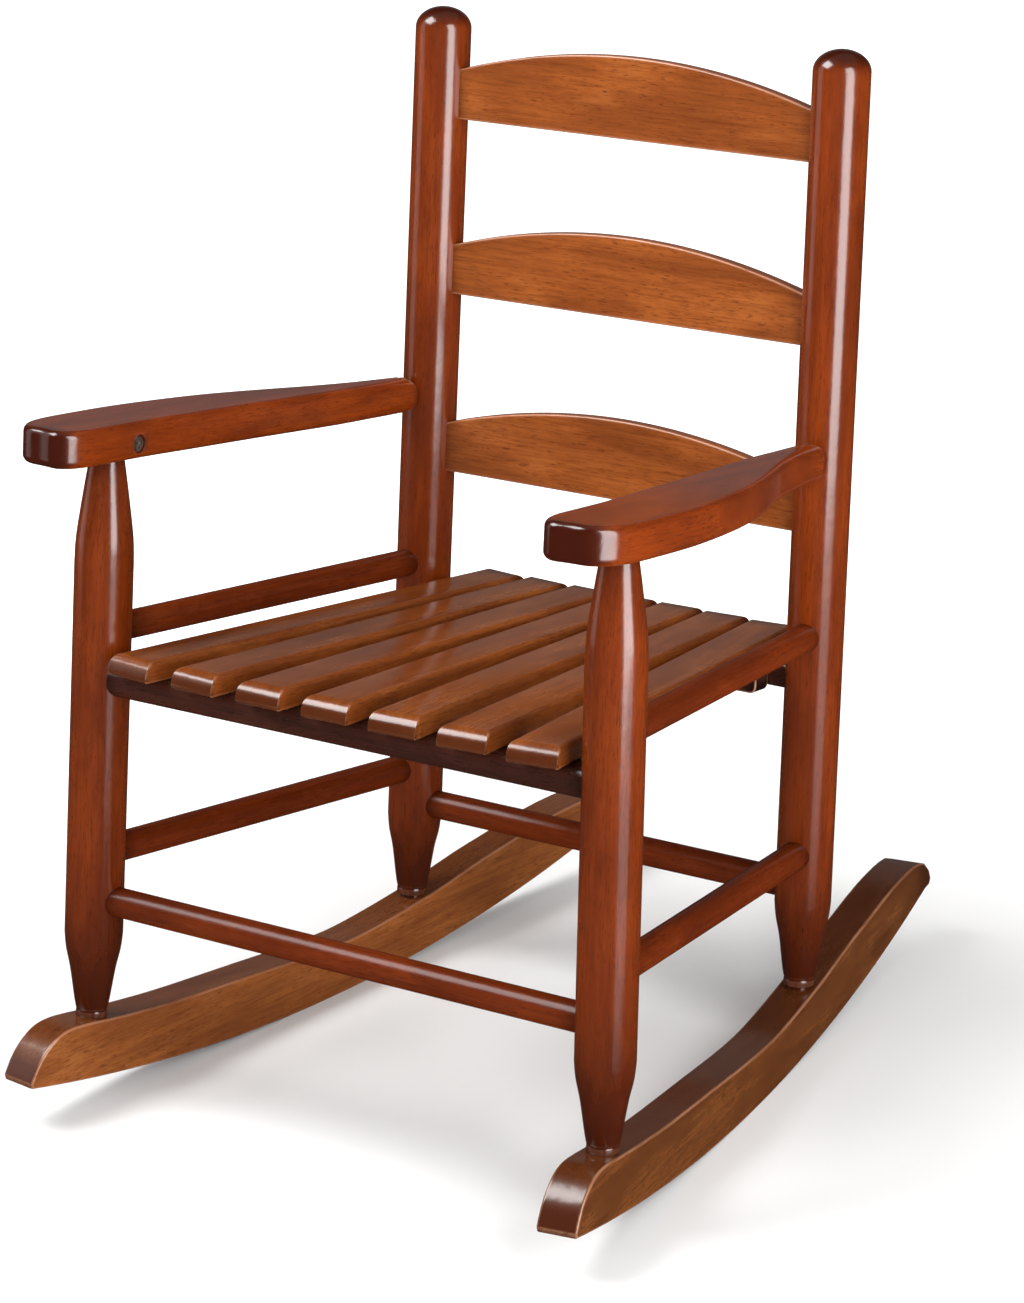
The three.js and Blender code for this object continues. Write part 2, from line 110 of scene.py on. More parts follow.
class ChairSizes(bpy.types.PropertyGroup):
    """Sizes of the chair's parts, in metres"""

    front_post: length("Front post radius", "Radius of the turned front posts", 0.0166)
    rear_post: length("Rear post radius", "Radius of the turned rear posts", 0.0163)
    stretcher: length("Stretcher radius", "Radius of the round stretchers", 0.0085)
    side_rail: length("Side rail radius", "Radius of the round rails beside the seat", 0.0082)
    slat_thickness: length("Slat thickness", "Thickness of a seat slat", 0.012)
    slat_width: length("Slat width", "Width of a seat slat", 0.0295)
    slat_nose: length("Slat nose", "Radius of the rounded front of a seat slat", 0.009)
    back_slat: length("Back slat thickness", "Thickness of a back slat", 0.0085)
    arm: length("Arm thickness", "Thickness of the arms", 0.021)
    rocker: length("Rocker width", "Width of the rockers", 0.0237)
    slats: IntProperty(name="Seat slats", description="Number of seat slats", default=7, min=2, max=12)


class ChairFinish(bpy.types.PropertyGroup):
    """Colours of the stains and metal"""

    frame_light: colour("Frame light", "Lightest tone of the posts and arms", (0.186, 0.0275, 0.0016))
    frame_dark: colour("Frame dark", "Darkest tone of the posts and arms", (0.062, 0.0080, 0.0012))
    slat_light: colour("Slat light", "Lightest tone of the slats", (0.272, 0.070, 0.0120))
    slat_dark: colour("Slat dark", "Darkest tone of the slats", (0.098, 0.0185, 0.0038))
    rocker_light: colour("Rocker light", "Lightest tone of the rockers", (0.250, 0.076, 0.0165))
    rocker_dark: colour("Rocker dark", "Darkest tone of the rockers", (0.095, 0.024, 0.0065))
    rail_light: colour("Rail light", "Lightest tone of the dark seat rails", (0.048, 0.0125, 0.0065))
    rail_dark: colour("Rail dark", "Darkest tone of the dark seat rails", (0.018, 0.0055, 0.0040))
    stretcher_light: colour("Stretcher light", "Lightest tone of the stretchers", (0.132, 0.0195, 0.0025))
    stretcher_dark: colour("Stretcher dark", "Darkest tone of the stretchers", (0.048, 0.0075, 0.0020))
    steel: colour("Steel", "Colour of the plated screws", (0.56, 0.53, 0.49))
    floor: colour("Floor", "Colour of the pale floor", (0.86, 0.86, 0.855))


def power(name, description, default):
    return FloatProperty(name=name, description=description, default=default, min=0.0, subtype="POWER")


class ChairLight(bpy.types.PropertyGroup):
    """Strength of the studio lights"""

    key: power("Overhead", "Power of the overhead softbox", 46.0)
    strip: power("Strip", "Power of the tall strip at the right", 27.0)
    fill: power("Fill", "Power of the broad fill at the left", 3.5)
    room: FloatProperty(
        name="Room", description="Brightness of the room around the chair", default=0.45, min=0.0
    )


# ---- shapes ----------------------------------------------


def basis(origin, x, y, z):
    """A frame with those axes at that origin."""
    m = Matrix((x, y, z)).transposed().to_4x4()
    m.translation = origin
    return m


def along_axis(a, b):
    """A frame whose z runs from a to b."""
    z = (b - a).normalized()
    x = z.orthogonal().normalized()
    return basis(a, x, z.cross(x), z)


def curve(points, steps):
    """Centripetal curve through the points, with that many steps between two of them."""
    p = [Vector(q) for q in points]
    p = [2 * p[0] - p[1], *p, 2 * p[-1] - p[-2]]
    out = []
    for i in range(1, len(p) - 2):
        knots = [0.0]
        for a, b in zip(p[i - 1 : i + 2], p[i : i + 3]):
            knots.append(knots[-1] + sqrt((b - a).length))
        t0, t1, t2, t3 = knots
        for k in range(steps):
            t = t1 + (t2 - t1) * k / steps
            a1 = p[i - 1] * ((t1 - t) / (t1 - t0)) + p[i] * ((t - t0) / (t1 - t0))
            a2 = p[i] * ((t2 - t) / (t2 - t1)) + p[i + 1] * ((t - t1) / (t2 - t1))
            a3 = p[i + 1] * ((t3 - t) / (t3 - t2)) + p[i + 2] * ((t - t2) / (t3 - t2))
            b1 = a1 * ((t2 - t) / (t2 - t0)) + a2 * ((t - t0) / (t2 - t0))
            b2 = a2 * ((t3 - t) / (t3 - t1)) + a3 * ((t - t1) / (t3 - t1))
            out.append(b1 * ((t2 - t) / (t2 - t1)) + b2 * ((t - t1) / (t2 - t1)))
    out.append(Vector(points[-1]))
    return out


def loft(rings, name="loft"):
    """A closed skin over rings of points; a ring of one point is a pole."""
    points, faces, starts = [], [], []
    for ring in rings:
        starts.append(len(points))
        points.extend(ring)
    for i in range(len(rings) - 1):
        a, b, n, m = starts[i], starts[i + 1], len(rings[i]), len(rings[i + 1])
        if n == 1:
            faces += [(a, b + (k + 1) % m, b + k) for k in range(m)]
        elif m == 1:
            faces += [(a + k, a + (k + 1) % n, b) for k in range(n)]
        else:
            faces += [(a + k, a + (k + 1) % n, b + (k + 1) % n, b + k) for k in range(n)]
    if len(rings[0]) > 1:
        faces.append(tuple(reversed(range(len(rings[0])))))
    if len(rings[-1]) > 1:
        faces.append(tuple(range(starts[-1], len(points))))
    mesh = bpy.data.meshes.new(name)
    mesh.from_pydata([tuple(p) for p in points], [], faces)
    mesh.validate()
    return mesh


def turned(profile, a, b, segments=64):
    """A turned piece from a towards b: profile of (radius, height), first and last on the axis."""
    place = along_axis(a, b)
    rings = []
    for radius, height in profile:
        count = segments if radius else 1
        rings.append(
            [
                place @ Vector((radius * cos(tau * k / count), radius * sin(tau * k / count), height))
                for k in range(count)
            ]
        )
    return loft(rings)


def inward(outline, depths):
    """The closed outline moved inwards, by its own depth at each point."""
    out = []
    n = len(outline)
    for k, p in enumerate(outline):
        before = (p - outline[k - 1]).normalized()
        after = (outline[(k + 1) % n] - p).normalized()
        n0, n1 = Vector((-before.y, before.x)), Vector((-after.y, after.x))
        mid = (n0 + n1).normalized()
        out.append(p + mid * (depths[k] / max(mid.dot(n1), 0.5)))
    return out


def board(outline, thickness, place, edge=1.0, steps=4, land=0.5):
    """A board cut to an outline, its edges rounded. edge is one radius, or one for each point."""
    points = [Vector(p) for p in outline]
    edges = list(edge) if isinstance(edge, (list, tuple)) else [edge] * len(points)
    area = sum(p.cross(points[(k + 1) % len(points)]) for k, p in enumerate(points))
    if area < 0:
        points.reverse()
        edges.reverse()
    lower = [([r + land for r in edges], [0.0] * len(edges))]
    for k in range(steps + 1):
        turn = k / steps * pi / 2
        lower.append(([r * (1 - sin(turn)) for r in edges], [r * (1 - cos(turn)) for r in edges]))
    lower.append(([0.0] * len(edges), [min(r + land, 0.48 * thickness) for r in edges]))
    rings = []
    for depths, heights in lower:
        rings.append([place @ p.to_3d() + place.col[2].to_3d() * h
                      for p, h in zip(inward(points, depths), heights)])
    for depths, heights in reversed(lower):
        rings.append([place @ p.to_3d() + place.col[2].to_3d() * (thickness - h)
                      for p, h in zip(inward(points, depths), heights)])
    return loft(rings)


def rounded(x0, y0, x1, y1, radii, steps=8):
    """Corner points of a rounded rectangle, one radius for each corner, from the lower left."""
    out = []
    for (x, y, start), r in zip(((x0, y0, 180), (x1, y0, 270), (x1, y1, 0), (x0, y1, 90)), radii):
        cx = x + r if x == x0 else x - r
        cy = y + r if y == y0 else y - r
        for k in range(steps + 1):
            a = radians(start + 90 * k / steps)
            out.append((cx + r * cos(a), cy + r * sin(a)))
    return out


def worked(mesh, bevel=0.0, cutters=()):
    """The mesh after its edges are eased and the cutters are taken out of it."""
    thing = bpy.data.objects.new("blank", mesh)
    bpy.context.scene.collection.objects.link(thing)
    made = []
    for cutter in cutters:
        tool = bpy.data.objects.new("cutter", cutter)
        bpy.context.scene.collection.objects.link(tool)
        made.append(tool)
        cut = thing.modifiers.new("cut", "BOOLEAN")
        cut.operation, cut.solver, cut.object = "DIFFERENCE", "EXACT", tool
    if bevel:
        ease = thing.modifiers.new("ease", "BEVEL")
        ease.width, ease.segments, ease.limit_method = bevel, 2, "ANGLE"
        ease.angle_limit = radians(32)
    graph = bpy.context.evaluated_depsgraph_get()
    out = bpy.data.meshes.new_from_object(thing.evaluated_get(graph))
    for tool in (*made, thing):
        bpy.data.objects.remove(tool)
    return out


def stamp(mesh, grain, span, seed, reach, stain, wear_and_highlight, thirst, skin=0.0):
    """Stores what the wood finish reads: place along the grain, length, seed, end stain, a painted shade
    on faces turned up or down (skin), and edges (paler, partly worn and partly a painted highlight).
    """
    inverse = grain.inverted()
    store = mesh.attributes.new("grain", "FLOAT_VECTOR", "POINT")
    for k, v in enumerate(mesh.vertices):
        store.data[k].vector = (inverse @ v.co) * 0.001
    along, up = grain.col[0].to_3d().normalized(), grain.col[2].to_3d().normalized()
    end_soak_and_painted_shade = []
    for v in mesh.vertices:
        end = min(1.0, max(0.0, (abs(v.normal.dot(along)) - 0.35) / 0.45))
        # skin darkens faces turned up or down through the same attribute as end grain: painted shade.
        flat = min(1.0, max(0.0, (abs(v.normal.dot(up)) - 0.35) / 0.45))
        end_soak_and_painted_shade.append(max(thirst * end, skin * flat))
    store = mesh.attributes.new("end_grain_and_painted_shade", "FLOAT", "POINT")
    store.data.foreach_set("value", end_soak_and_painted_shade)
    given = {"span": span * 0.001, "seed": seed, "stain": stain}
    given.update({"reach": reach[0] * 0.001, "far_reach": reach[1] * 0.001})
    for name, value in given.items():
        store = mesh.attributes.new(name, "FLOAT", "POINT")
        store.data.foreach_set("value", [value] * len(mesh.vertices))
    bm = bmesh.new()
    bm.from_mesh(mesh)
    # Convex edges get a paler tone: partly worn stain, partly a painted highlight.
    worn = [0.0] * len(bm.verts)
    for e in bm.edges:
        if len(e.link_faces) != 2:
            continue
        angle = e.calc_face_angle(0.0)
        if angle < 0.12 or e.calc_face_angle_signed(0.0) < 0:
            continue
        width = min(f.calc_area() for f in e.link_faces) / max(e.calc_length(), 1e-6)
        bend = min(1.0, max(0.0, (angle / max(width, 1e-3) - 0.3) / 0.9))
        for v in e.verts:
            worn[v.index] = max(worn[v.index], bend)
    bm.free()
    store = mesh.attributes.new("edge", "FLOAT", "POINT")
    store.data.foreach_set("value", [wear_and_highlight * value for value in worn])


def place_piece(name, mesh, material, nodes, moved=ROOM):
    """Puts a finished mesh in the room in place of its nodes."""
    mesh.transform(moved)
    mesh.name = name
    mesh.materials.clear()
    mesh.materials.append(material)
    mesh.shade_smooth()
    mesh.set_sharp_from_angle(angle=radians(38))
    piece = bpy.data.objects.new(name, mesh)
    bpy.context.scene.collection.objects.link(piece)
    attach(piece, "root")
    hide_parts(*nodes)
    return piece


def wooden(node, mesh, wood, grain, span, seed, reach, stain=1.0, wear_and_highlight=0.8, thirst=0.8, skin=0.0):
    """Stamps a mesh with its wood and puts it in the room in place of its node."""
    stamp(mesh, grain, span, seed, reach, stain, wear_and_highlight, thirst, skin)
    return place_piece(f"{node}_wood", mesh, finish(wood), [node])


# ---- finishes --------------------------------------------


class Nodes:
    """Short hand for wiring one node tree."""

    def __init__(self, tree):
        self.tree = tree

    def add(self, kind, settings=None, **inputs):
        node = self.tree.nodes.new(kind)
        for key, value in (settings or {}).items():
            setattr(node, key, value)
        for key, value in inputs.items():
            self.set(node, key, value)
        return node

    def set(self, node, key, value):
        numbered = key[0] == "i" and key[1:].isdigit()
        socket = node.inputs[int(key[1:]) if numbered else key]
        if isinstance(value, bpy.types.NodeSocket):
            self.tree.links.new(value, socket)
        else:
            socket.default_value = value

    def math(self, operation, a, b=0.0):
        return self.add("ShaderNodeMath", {"operation": operation}, i0=a, i1=b).outputs[0]

    def band(self, value, low, high, to_low=0.0, to_high=1.0):
        settings = {"interpolation_type": "SMOOTHSTEP"}
        node = self.add("ShaderNodeMapRange", settings, i0=value, i1=low, i2=high, i3=to_low, i4=to_high)
        return node.outputs[0]

    def mix(self, fac, a, b, blend="MIX"):
        node = self.add("ShaderNodeMix", {"data_type": "RGBA", "blend_type": blend})
        for index, value in ((0, fac), (6, a), (7, b)):
            self.set(node, f"i{index}", value)
        return node.outputs[2]

    def noise(self, vector, stretch, detail=4.0, roughness=0.55, distortion=0.0):
        settings = {"operation": "MULTIPLY"}
        spread = self.add("ShaderNodeVectorMath", settings, i0=vector, i1=stretch).outputs[0]
        return self.add(
            "ShaderNodeTexNoise", Vector=spread, Scale=1.0, Detail=detail, Roughness=roughness,
            Distortion=distortion,
        ).outputs[0]

    def attribute(self, name, output):
        return self.add("ShaderNodeAttribute", {"attribute_name": name}).outputs[output]

    def grey(self, value):
        return self.add("ShaderNodeCombineXYZ", i0=value, i1=value, i2=value).outputs[0]


def rgba(value, share=1.0):
    return (*(share * c for c in value), 1.0)


def empty_material(name):
    """A new material and its cleared node tree."""
    material = bpy.data.materials.new(name)
    material.use_nodes = True
    material.node_tree.nodes.clear()
    return material, Nodes(material.node_tree)


COAT_IOR = 1.65


def stained_wood(name, light, dark, gloss=0.1, coat=1.0, figure=1.0, worn_edge_and_highlight_tone=(0.62, 0.30, 0.17)):
    """Stained hardwood under clear lacquer: figure, fibres, pores, darker ends, painted shade on faces
    turned up or down, and paler edges that are partly worn and partly a painted highlight.
    """
    material, n = empty_material(name)
    seed = n.attribute("seed", "Fac")
    jump = n.add("ShaderNodeVectorMath", {"operation": "SCALE"}, i0=(3.17, 1.73, 2.41)).outputs[0]
    n.set(jump.node, "Scale", seed)
    raw = n.attribute("grain", "Vector")
    at = n.add("ShaderNodeVectorMath", {"operation": "ADD"}, i0=raw, i1=jump).outputs[0]
    along = n.add("ShaderNodeSeparateXYZ", i0=raw).outputs[0]

    broad = n.noise(at, (7.0, 42.0, 42.0), 3.0, 0.55, 0.8)
    streak = n.noise(at, (10.0, 300.0, 300.0), 5.0, 0.6, 0.1)
    fibre = n.noise(at, (36.0, 640.0, 640.0), 4.0, 0.75)
    pore = n.noise(at, (150.0, 1400.0, 1400.0), 2.0, 0.55)
    cloud = n.noise(at, (17.0, 40.0, 40.0), 4.0, 0.6, 0.3)

    mean = tuple(0.5 * (a + b) for a, b in zip(light, dark))
    tone = n.mix(n.band(broad, 0.34, 0.68), rgba(light), rgba(mean))
    amber = tuple(min(1.0, k * c) for k, c in zip((1.12, 1.35, 1.5), light))
    tone = n.mix(n.math("MULTIPLY", n.band(cloud, 0.52, 0.72), 0.45 * figure), tone, rgba(amber))
    tone = n.mix(n.math("MULTIPLY", n.band(streak, 0.46, 0.76), 0.36 * figure), tone, rgba(dark))
    tone = n.mix(n.math("MULTIPLY", n.band(fibre, 0.42, 0.70), 0.50 * figure), tone, rgba(dark))
    flecks = n.math("MULTIPLY", n.band(pore, 0.56, 0.68), n.band(cloud, 0.36, 0.60, 0.35, 1.0))
    tone = n.mix(n.math("MULTIPLY", flecks, 0.55 * figure), tone, rgba(dark, 0.4))
    shade = n.math("MULTIPLY", n.band(cloud, 0.28, 0.72, 0.88, 1.10), n.attribute("stain", "Fac"))
    tone = n.mix(1.0, tone, n.grey(shade), "MULTIPLY")

    left = n.math("SUBTRACT", n.attribute("span", "Fac"), along)
    near = n.math("DIVIDE", along, n.attribute("reach", "Fac"))
    far = n.math("DIVIDE", left, n.attribute("far_reach", "Fac"))
    ragged = n.band(cloud, 0.3, 0.7, 0.75, 1.3)
    ends = n.band(n.math("DIVIDE", n.math("MINIMUM", near, far), ragged), 0.1, 1.0, 0.85, 0.0)
    tone = n.mix(ends, tone, rgba(dark, 0.45))
    # End grain soaks up more stain; faces marked by skin get this dark tone too, as painted shade.
    end_soak_and_painted_shade = tuple(k * c for k, c in zip((0.50, 0.40, 0.50), dark))
    tone = n.mix(n.attribute("end_grain_and_painted_shade", "Fac"), tone, rgba(end_soak_and_painted_shade))
    # Paler convex edges: partly rubbed stain, partly a painted highlight.
    edge = n.attribute("edge", "Fac")
    rub_and_highlight = n.math("MULTIPLY", edge, n.band(streak, 0.30, 0.60, 0.25, 0.75))
    tone = n.mix(rub_and_highlight, tone, rgba(worn_edge_and_highlight_tone))

    rough = n.math("ADD", n.band(fibre, 0.3, 0.7, 0.34, 0.46), n.math("MULTIPLY", flecks, 0.2))
    skin = n.noise(raw, (150.0, 150.0, 150.0), 2.0, 0.5)
    ripple = n.add("ShaderNodeBump", Height=skin, Strength=0.18, Distance=0.0006).outputs[0]
    relief = n.math("SUBTRACT", n.math("MULTIPLY", fibre, 0.35), flecks)
    grain = n.add("ShaderNodeBump", Height=relief, Strength=0.35, Distance=0.0002, Normal=ripple)

    shader = n.add("ShaderNodeBsdfPrincipled", **{
        "Base Color": tone, "Roughness": rough, "Normal": grain.outputs[0], "Coat Normal": ripple,
        "Coat Weight": coat, "Coat Roughness": gloss, "Coat IOR": COAT_IOR,
        "Specular IOR Level": 0.0,
    })
    n.add("ShaderNodeOutputMaterial", i0=shader.outputs[0])
    return material


def plated_steel(name, tone):
    """Plated screw steel, lightly turned and dulled in the recess."""
    material, n = empty_material(name)
    at = n.add("ShaderNodeTexCoord").outputs["Object"]
    scratch = n.noise(at, (900.0, 900.0, 300.0), 3.0, 0.6)
    stain = n.noise(at, (260.0, 260.0, 260.0), 3.0, 0.6)
    worn = n.mix(n.band(stain, 0.4, 0.7, 0.0, 0.6), rgba(tone), rgba(tone, 0.45))
    shader = n.add("ShaderNodeBsdfPrincipled", Metallic=1.0)
    n.set(shader, "Base Color", worn)
    n.set(shader, "Roughness", n.band(scratch, 0.3, 0.7, 0.24, 0.42))
    relief = n.add("ShaderNodeBump", Height=scratch, Strength=0.2, Distance=0.0001).outputs[0]
    n.set(shader, "Normal", relief)
    n.add("ShaderNodeOutputMaterial", i0=shader.outputs[0])
    return material


GLOW_MIDDLE, GLOW_REACH, GLOW = (0.12, -0.05, 0.0), (0.2, 1.1), 0.8


def pale_floor(name, tone):
    """Smooth matt floor with the faintest mottling, brighter away from the chair, where it glows: painted
    light.
    """
    material = bpy.data.materials.new(name)
    material.use_nodes = True
    tree = material.node_tree
    n = Nodes(tree)
    shader = tree.nodes["Principled BSDF"]
    at = n.add("ShaderNodeTexCoord").outputs["Object"]
    mottle = n.band(n.noise(at, (3.0, 3.0, 3.0), 3.0), 0.3, 0.7, 0.985, 1.0)
    n.set(shader, "Base Color", n.mix(1.0, rgba(tone), n.grey(mottle), "MULTIPLY"))
    shader.inputs["Roughness"].default_value = 0.75
    shader.inputs["Specular IOR Level"].default_value = 0.2
    shader.inputs["Emission Color"].default_value = (1.0, 1.0, 1.0, 1.0)
    # The floor glows more strongly away from the chair: painted light, not a lamp.
    away = n.add("ShaderNodeVectorMath", {"operation": "DISTANCE"}, i0=at, i1=GLOW_MIDDLE)
    n.set(shader, "Emission Strength", n.band(away.outputs["Value"], *GLOW_REACH, 0.0, GLOW))
    return material


def finish(key):
    """The wood or steel finish of that name, made once."""
    made = f"{key}_finish"
    if made in bpy.data.materials:
        return bpy.data.materials[made]
    c = bpy.context.scene.chair_finish
    if key == "screw_steel":
        return plated_steel(made, tuple(c.steel))
    tones = {
        "frame_wood": (c.frame_light, c.frame_dark, 0.19, 1.0, 0.8),
        "slat_wood": (c.slat_light, c.slat_dark, 0.20, 0.9, 1.0),
        "rocker_wood": (c.rocker_light, c.rocker_dark, 0.18, 0.9, 1.0),
        "stretcher_wood": (c.stretcher_light, c.stretcher_dark, 0.24, 0.35, 0.8),
        "rail_wood": (c.rail_light, c.rail_dark, 0.25, 0.6, 0.8),
    }
    light, dark, gloss, coat, figure = tones[key]
    return stained_wood(made, tuple(light), tuple(dark), gloss, coat, figure)


# ---- rockers ---------------------------------------------

ROCKER_R, ROCKER_CENTRE = 1014.6, (57.5, 982.4)
ROCKER_NOSE, ROCKER_TAIL, ROCKER_FLAT = (-54.4, -25.1), (433.4, 38.4), 7.0
ROCKER_END = ((438.6, 40.6), (440.6, 44.5), (437.8, 50.0), (430.0, 56.0))
ROCKER_BACK = (
    *((421.2, 58.5), (409.8, 58.3), (384.9, 54.9), (362.3, 50.0), (339.9, 44.0), (317.4, 38.3)),
    *((300.5, 33.4), (275.9, 25.9), (251.2, 19.6), (227.5, 14.2), (205.0, 9.9), (182.3, 7.5)),
    *((156.1, 6.0), (125.3, 4.9), (96.8, 3.7), (57.0, 2.3), (25.0, 2.4), (0.0, 3.2), (-14.0, 3.8)),
)
ROCKER_FRONT = (
    *((-25.3, 3.5), (-34.4, 1.1), (-42.0, -4.0), (-49.0, -11.5), (-54.0, -20.5), (-55.2, -23.4)),
)


def level(point):
    """A rocker's design point turned from the chair's lean to the level of the floor."""
    s, w = point
    return (s * cos(LEAN) + w * sin(LEAN), w * cos(LEAN) - s * sin(LEAN))


def rocker_frame(side):
    """Along, up and across a rocker toed in under its posts, and the foot of its front post."""
    reach = level((SEAT_DEPTH, FOOT_Z[1]))[0]
    toe = atan2(FRONT_HALF - rear_post(1, FOOT_Z[1]).x, reach)
    along = Vector((-side * sin(toe), cos(toe) * cos(LEAN), cos(toe) * sin(LEAN)))
    up = Vector((0.0, -sin(LEAN), cos(LEAN)))
    across = along.cross(up)
    return along, up, across, Vector((side * FRONT_HALF, 0.0, 0.0))


def rocker_outline():
    """Side view: the under arc with its short flat, then the tail and the shaped top back to the nose."""
    cs, cw = level(ROCKER_CENTRE)
    low = asin((level(ROCKER_NOSE)[0] - cs) / ROCKER_R)
    high = asin((level(ROCKER_TAIL)[0] - cs) / ROCKER_R)
    flat = ROCKER_FLAT / ROCKER_R
    under = []
    for a, b, count in ((low, -flat, 24), (flat, high, 60)):
        for k in range(count + 1):
            t = a + (b - a) * k / count
            under.append((cs + ROCKER_R * sin(t), cw - ROCKER_R * cos(t)))
    tail = [level(p) for p in ROCKER_END]
    back = curve([level(p) for p in (*ROCKER_BACK, *ROCKER_FRONT)], 3)
    return [*under, *tail, *[(p.x, p.y) for p in back]]


class CHAIR_OT_rockers(bpy.types.Operator):
    """Cut the two curved rockers"""

    bl_idname = "chair.rockers"
    bl_label = "Rockers"

    def execute(self, context):
        wide = mm(context.scene.chair_sizes.rocker)
        for name, side in SIDES:
            along, up, across, foot = rocker_frame(side)
            place = basis(foot - across * wide / 2, along, up, across)
            mesh = board(rocker_outline(), wide, place, 1.2, 4)
            grain = basis(foot - along * 62, along, across, up)
            # skin=0.6 darkens the top and under faces of the rockers: painted shade.
            wooden(
                f"rocker_{name}", mesh, "rocker_wood", grain, 500, seed=1.3 + side, reach=(5, 30),
                stain=0.86 - 0.26 * side, wear_and_highlight=0.7, thirst=0.95, skin=0.6,
            )
        return {"FINISHED"}


# ---- posts -----------------------------------------------


FOOT_TENON, ARM_TENON, HEAD_NECK = (6.8, 20.0), (6.5, 15.0), 9.8


def foot_profile(full):
    """From the tenon in the rocker, past the turned ring, up to the full thickness."""
    r, deep = FOOT_TENON
    bottom = [(0.0, -deep), (r - 0.4, -deep), (r, 0.6 - deep), (r, FIT), (NECK - 0.4, FIT), (NECK, 0.9)]
    ring = [(NECK, 3.6), (NECK - 0.2, 4.1), (NECK - 0.3, 4.5), (NECK - 0.2, 4.9)]
    taper = ((NECK + 0.1, 5.4), (NECK + 1.0, 10), (full - 3.4, 30), (full - 1.0, 41), (full, 50))
    return bottom + ring + [(p.x, p.y) for p in curve(taper, 5)]


class CHAIR_OT_posts(bpy.types.Operator):
    """Turn the four posts"""

    bl_idname = "chair.posts"
    bl_label = "Posts"

    def execute(self, context):
        sizes = context.scene.chair_sizes
        thin, tall = ARM_TENON
        for name, side in SIDES:
            r = mm(sizes.front_post)
            foot = front_post(side, FOOT_Z[0])
            head = front_post(side, arm_top(0) - mm(sizes.arm) - FIT)
            high = (head - foot).length
            neck = ((r, high - 60), (r - 0.5, high - 47), (r - 3.4, high - 24), (HEAD_NECK, high - 1))
            profile = foot_profile(r) + [(p.x, p.y) for p in curve(neck, 6)]
            profile += [(HEAD_NECK, high - 0.4), (HEAD_NECK - 0.4, high), (thin, high)]
            profile += [(thin, high + tall - 0.6), (thin - 0.5, high + tall), (0.0, high + tall)]
            grain = self.grain(foot, head)
            wooden(
                f"front_post_{name}", turned(profile, foot, head), "frame_wood", grain, high + 12,
                seed=4.2 + side, reach=(95, 26), stain=0.83, wear_and_highlight=0.2,
            )
            r = mm(sizes.rear_post)
            foot, head = rear_post(side, FOOT_Z[1]), rear_post(side, REAR_TOP)
            high = (head - foot).length
            dome = [
                (r * cos(radians(a)), high - DOME + DOME * sin(radians(a))) for a in range(0, 90, 6)
            ]
            grain = self.grain(foot, head)
            profile = foot_profile(r) + dome + [(0.0, high)]
            wooden(
                f"rear_post_{name}", turned(profile, foot, head), "frame_wood", grain, high,
                seed=7.7 + side, reach=(80, 14), stain=0.92, wear_and_highlight=0.2, thirst=0.45,
            )
        return {"FINISHED"}

    @staticmethod
    def grain(foot, head):
        m = along_axis(foot, head)
        x, y, z = (m.col[k].to_3d() for k in range(3))
        return basis(foot, z, x, y)


# ---- stretchers and rails --------------------------------


STRETCHER_FRONT, STRETCHER_REAR, STRETCHER_SIDE, SIDE_RAIL = 73.9, 81.9, (99.6, 104.1), (229.4, 232.2)


def dowels(sizes):
    """Name, ends, post radii and radius of every round piece between two posts."""
    front, rear = mm(sizes.front_post), mm(sizes.rear_post)
    thin, rail = mm(sizes.stretcher), mm(sizes.side_rail)
    yield "stretcher_front", *(front_post(k, STRETCHER_FRONT) for k in (-1, 1)), front, front, thin
    yield "stretcher_rear", *(rear_post(k, STRETCHER_REAR) for k in (-1, 1)), rear, rear, thin
    for name, side in SIDES:
        for kind, (low, high), r in (("stretcher", STRETCHER_SIDE, thin), ("seat_rail", SIDE_RAIL, rail)):
            yield f"{kind}_{name}", front_post(side, low), rear_post(side, high), front, rear, r


class CHAIR_OT_stretchers(bpy.types.Operator):
    """Turn the stretchers and the round rails beside the seat"""

    bl_idname = "chair.stretchers"
    bl_label = "Stretchers"

    def execute(self, context):
        for k, (name, a, b, ra, rb, r) in enumerate(dowels(context.scene.chair_sizes)):
            way = (b - a).normalized()
            a, b = a + way * (ra - SOCKET_DEPTH), b - way * (rb - SOCKET_DEPTH)
            long = (b - a).length
            profile = [(0, 0), (r - 0.6, 0), (r, 0.6), (r, 1.4)]
            profile += [(r, long * t / 12) for t in range(1, 12)]
            profile += [(r, long - 1.4), (r, long - 0.6), (r - 0.6, long), (0, long)]
            m = along_axis(a, b)
            grain = basis(a, m.col[2].to_3d(), m.col[0].to_3d(), m.col[1].to_3d())
            wooden(
                name, turned(profile, a, b, 48), "stretcher_wood", grain, long,
                seed=11.1 + 1.7 * k, reach=(24, 24),
            )
        return {"FINISHED"}


RAIL_DEEP, RAIL_TALL, BATTEN_THICK, BATTEN_TALL = 21.4, 17.0, 13.5, 18.0
FAN_MARGIN_FRONT, FAN_MARGIN_REAR = 79.6, 89.0


def slat_x(sizes, i, y):
    """Middle of a seat slat at that depth."""
    count = sizes.slats - 1
    t = (y - SLAT_FRONT) / (SLAT_REAR - SLAT_FRONT)
    front = (2 * FRONT_HALF - FAN_MARGIN_FRONT) / count
    rear = (2 * REAR_HALF - FAN_MARGIN_REAR) / count
    return (i - count / 2) * (front + (rear - front) * t)


def batten_rows():
    inset = RAIL_DEEP / 2 + 0.4 + BATTEN_THICK / 2
    return (("front", inset), ("rear", SEAT_DEPTH - inset))


